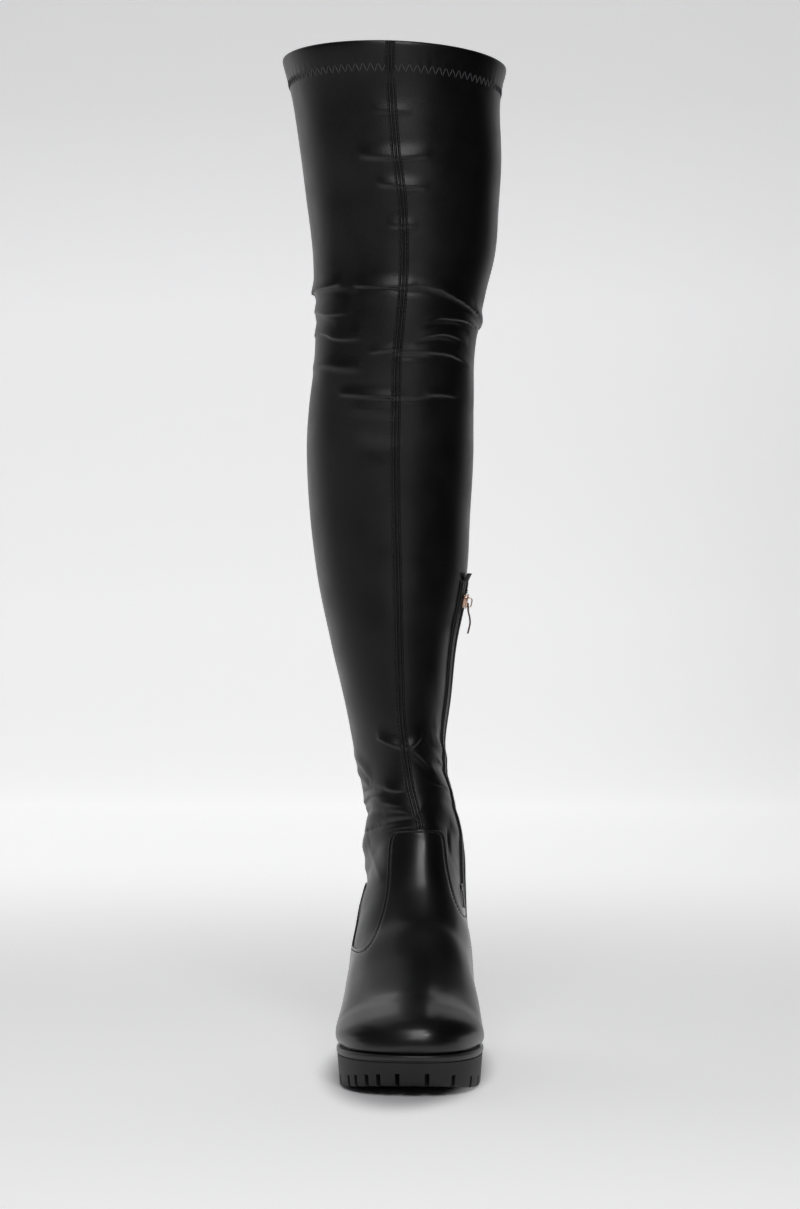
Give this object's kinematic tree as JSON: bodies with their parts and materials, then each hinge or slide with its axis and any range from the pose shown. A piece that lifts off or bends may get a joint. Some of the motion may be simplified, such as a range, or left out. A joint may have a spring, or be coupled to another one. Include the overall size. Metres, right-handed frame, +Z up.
{
  "type": "thigh high boot",
  "caption": "Right thigh high boot with a stretch leather shaft, smooth leather foot, side zip with a hinged pull tab and a thick lugged sole with a low heel.",
  "frame": {"origin": "on the floor under the leg's axis, between the two sides of the heel's tread", "axes": "+Z up the leg, -Y towards the toe, +X towards the inner side of the leg"},
  "size_m": [0.1629, 0.2922, 0.7203],
  "materials": {
    "rubber": "moulded, matte",
    "welt_rubber": "moulded, satin",
    "lining": "brushed cloth",
    "stretch_leather": "soft stretch leather, low gloss",
    "smooth_leather": "smooth polished leather",
    "zip_cloth": "woven tape",
    "zip_plastic": "nylon coil",
    "rose_gold": "polished plating, pale rose gold",
    "dark_bronze": "satin plating, dark"
  },
  "bodies": {
    "boot": {"outsole": "rubber", "midsole": "welt_rubber", "insole": "lining", "upper": "stretch_leather", "vamp": "smooth_leather", "heel_counter": "smooth_leather", "collar_band": "stretch_leather", "front_seam": "stretch_leather", "back_seam": "stretch_leather", "zip_tape": "zip_cloth", "zip_coil": "zip_plastic", "zip_slider": "rose_gold"},
    "pull": {"zip_pull": "dark_bronze"}
  },
  "joints": [
    {"name": "zip_pull_hinge", "type": "hinge", "parent": "boot", "child": "pull", "pos_m": [0.0412, 0.005, 0.3257], "axis": [0, -1, 0], "range_deg": [-6, 150]}
  ]
}
